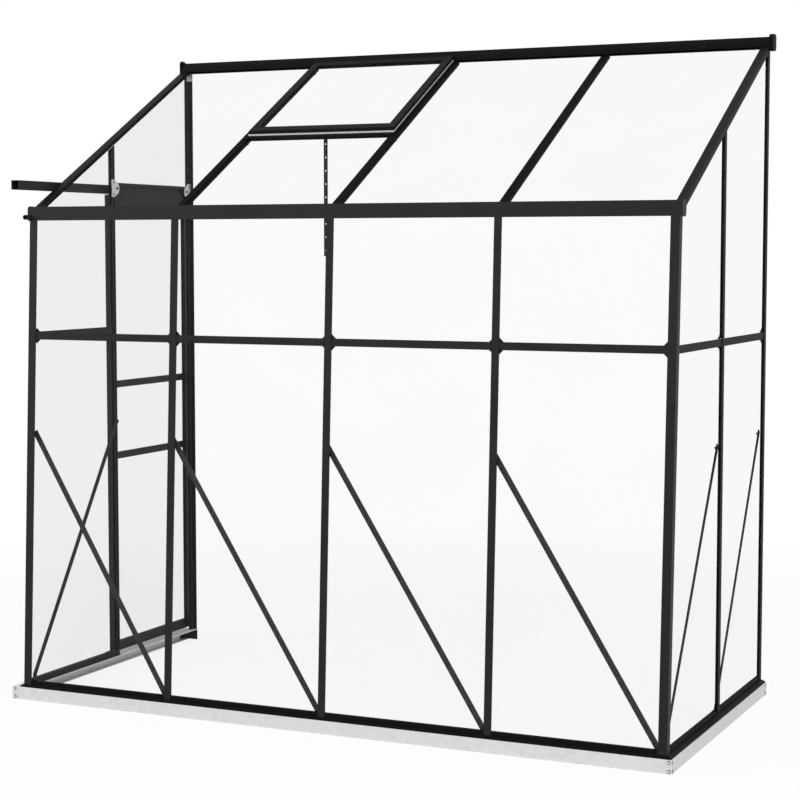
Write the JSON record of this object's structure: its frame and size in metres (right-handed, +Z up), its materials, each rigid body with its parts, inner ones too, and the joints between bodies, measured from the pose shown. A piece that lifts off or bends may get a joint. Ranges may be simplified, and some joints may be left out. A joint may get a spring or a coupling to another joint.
{
  "type": "lean-to greenhouse",
  "caption": "Lean-to greenhouse for a house wall: dark bar frame with clear sheets, sliding side door, roof vent on a stay, gutter and pale base frame.",
  "frame": {"origin": "middle of the footprint, on the ground", "axes": "+X along the front to the right, +Y towards the house wall, +Z up"},
  "size_m": [2.509, 1.2124, 2.417],
  "materials": {
    "frame_black": "satin powder coat on extruded bar",
    "base_zinc": "pale galvanised, matt",
    "sheet_clear": "clear twin-wall sheet with faint upright flutes",
    "stay_black": "dark, punched flat bar",
    "roller_plastic": "moulded"
  },
  "bodies": {
    "frame": {"base_frame": "base_zinc", "sill_front": "frame_black", "sill_right": "frame_black", "sill_left": "frame_black", "post_front_1": "frame_black", "post_front_2": "frame_black", "post_front_3": "frame_black", "post_front_4": "frame_black", "post_front_5": "frame_black", "post_right_middle": "frame_black", "post_right_back": "frame_black", "post_left_middle": "frame_black", "post_left_back": "frame_black", "rail_front": "frame_black", "rail_right": "frame_black", "rail_left": "frame_black", "sheet_front_lower_1": "sheet_clear", "sheet_front_lower_2": "sheet_clear", "sheet_front_lower_3": "sheet_clear", "sheet_front_lower_4": "sheet_clear", "sheet_front_upper_1": "sheet_clear", "sheet_front_upper_2": "sheet_clear", "sheet_front_upper_3": "sheet_clear", "sheet_front_upper_4": "sheet_clear", "sheet_right_lower_front": "sheet_clear", "sheet_right_lower_back": "sheet_clear", "sheet_right_upper_front": "sheet_clear", "sheet_right_upper_back": "sheet_clear", "sheet_left_lower": "sheet_clear", "sheet_left_upper": "sheet_clear", "sheet_over_door": "sheet_clear", "brace_front_1": "frame_black", "brace_front_2": "frame_black", "brace_front_3": "frame_black", "brace_front_4": "frame_black", "brace_left": "frame_black", "brace_right_front": "frame_black", "brace_right_back": "frame_black", "eave_beam": "frame_black", "rafter_1": "frame_black", "rafter_2": "frame_black", "rafter_3": "frame_black", "rafter_4": "frame_black", "rafter_5": "frame_black", "ridge_beam": "frame_black", "sheet_roof_1": "sheet_clear", "sheet_roof_2": "sheet_clear", "sheet_roof_3": "sheet_clear", "sheet_roof_4": "sheet_clear", "vent_trimmer": "frame_black", "door_header": "frame_black"},
    "door": {"door_frame": "frame_black", "door_sheet_1": "sheet_clear", "door_sheet_2": "sheet_clear", "door_sheet_3": "sheet_clear"},
    "front_roller": {"roller_front": "roller_plastic"},
    "back_roller": {"roller_back": "roller_plastic"},
    "vent": {"vent_frame": "frame_black", "vent_sheet": "sheet_clear"},
    "stay": {"vent_stay": "stay_black"}
  },
  "joints": [
    {"name": "door_slide", "type": "slide", "parent": "frame", "child": "door", "axis": [0, -1, 0], "range_m": [0, 0.55]},
    {"name": "front_roller_spin", "type": "hinge", "parent": "door", "child": "front_roller", "pos_m": [-1.232, 0.09325, 1.8726], "axis": [1, 0, 0], "range_deg": [0, 3160]},
    {"name": "back_roller_spin", "type": "hinge", "parent": "door", "child": "back_roller", "pos_m": [-1.232, 0.53525, 1.8726], "axis": [1, 0, 0], "range_deg": [0, 3160]},
    {"name": "vent_hinge", "type": "hinge", "parent": "frame", "child": "vent", "pos_m": [-0.293, 0.56415, 2.38809], "axis": [-1, 0, 0], "range_deg": [0, 30]},
    {"name": "stay_pivot", "type": "hinge", "parent": "vent", "child": "stay", "pos_m": [-0.293, 0.06125, 2.08898], "axis": [1, 0, 0], "range_deg": [0, 73]}
  ],
  "couplings": [
    {"joint": "front_roller_spin", "follows": "door_slide", "rad_per_m": 100},
    {"joint": "back_roller_spin", "follows": "door_slide", "rad_per_m": 100},
    {"joint": "stay_pivot", "follows": "vent_hinge", "ratio": 2.4}
  ]
}
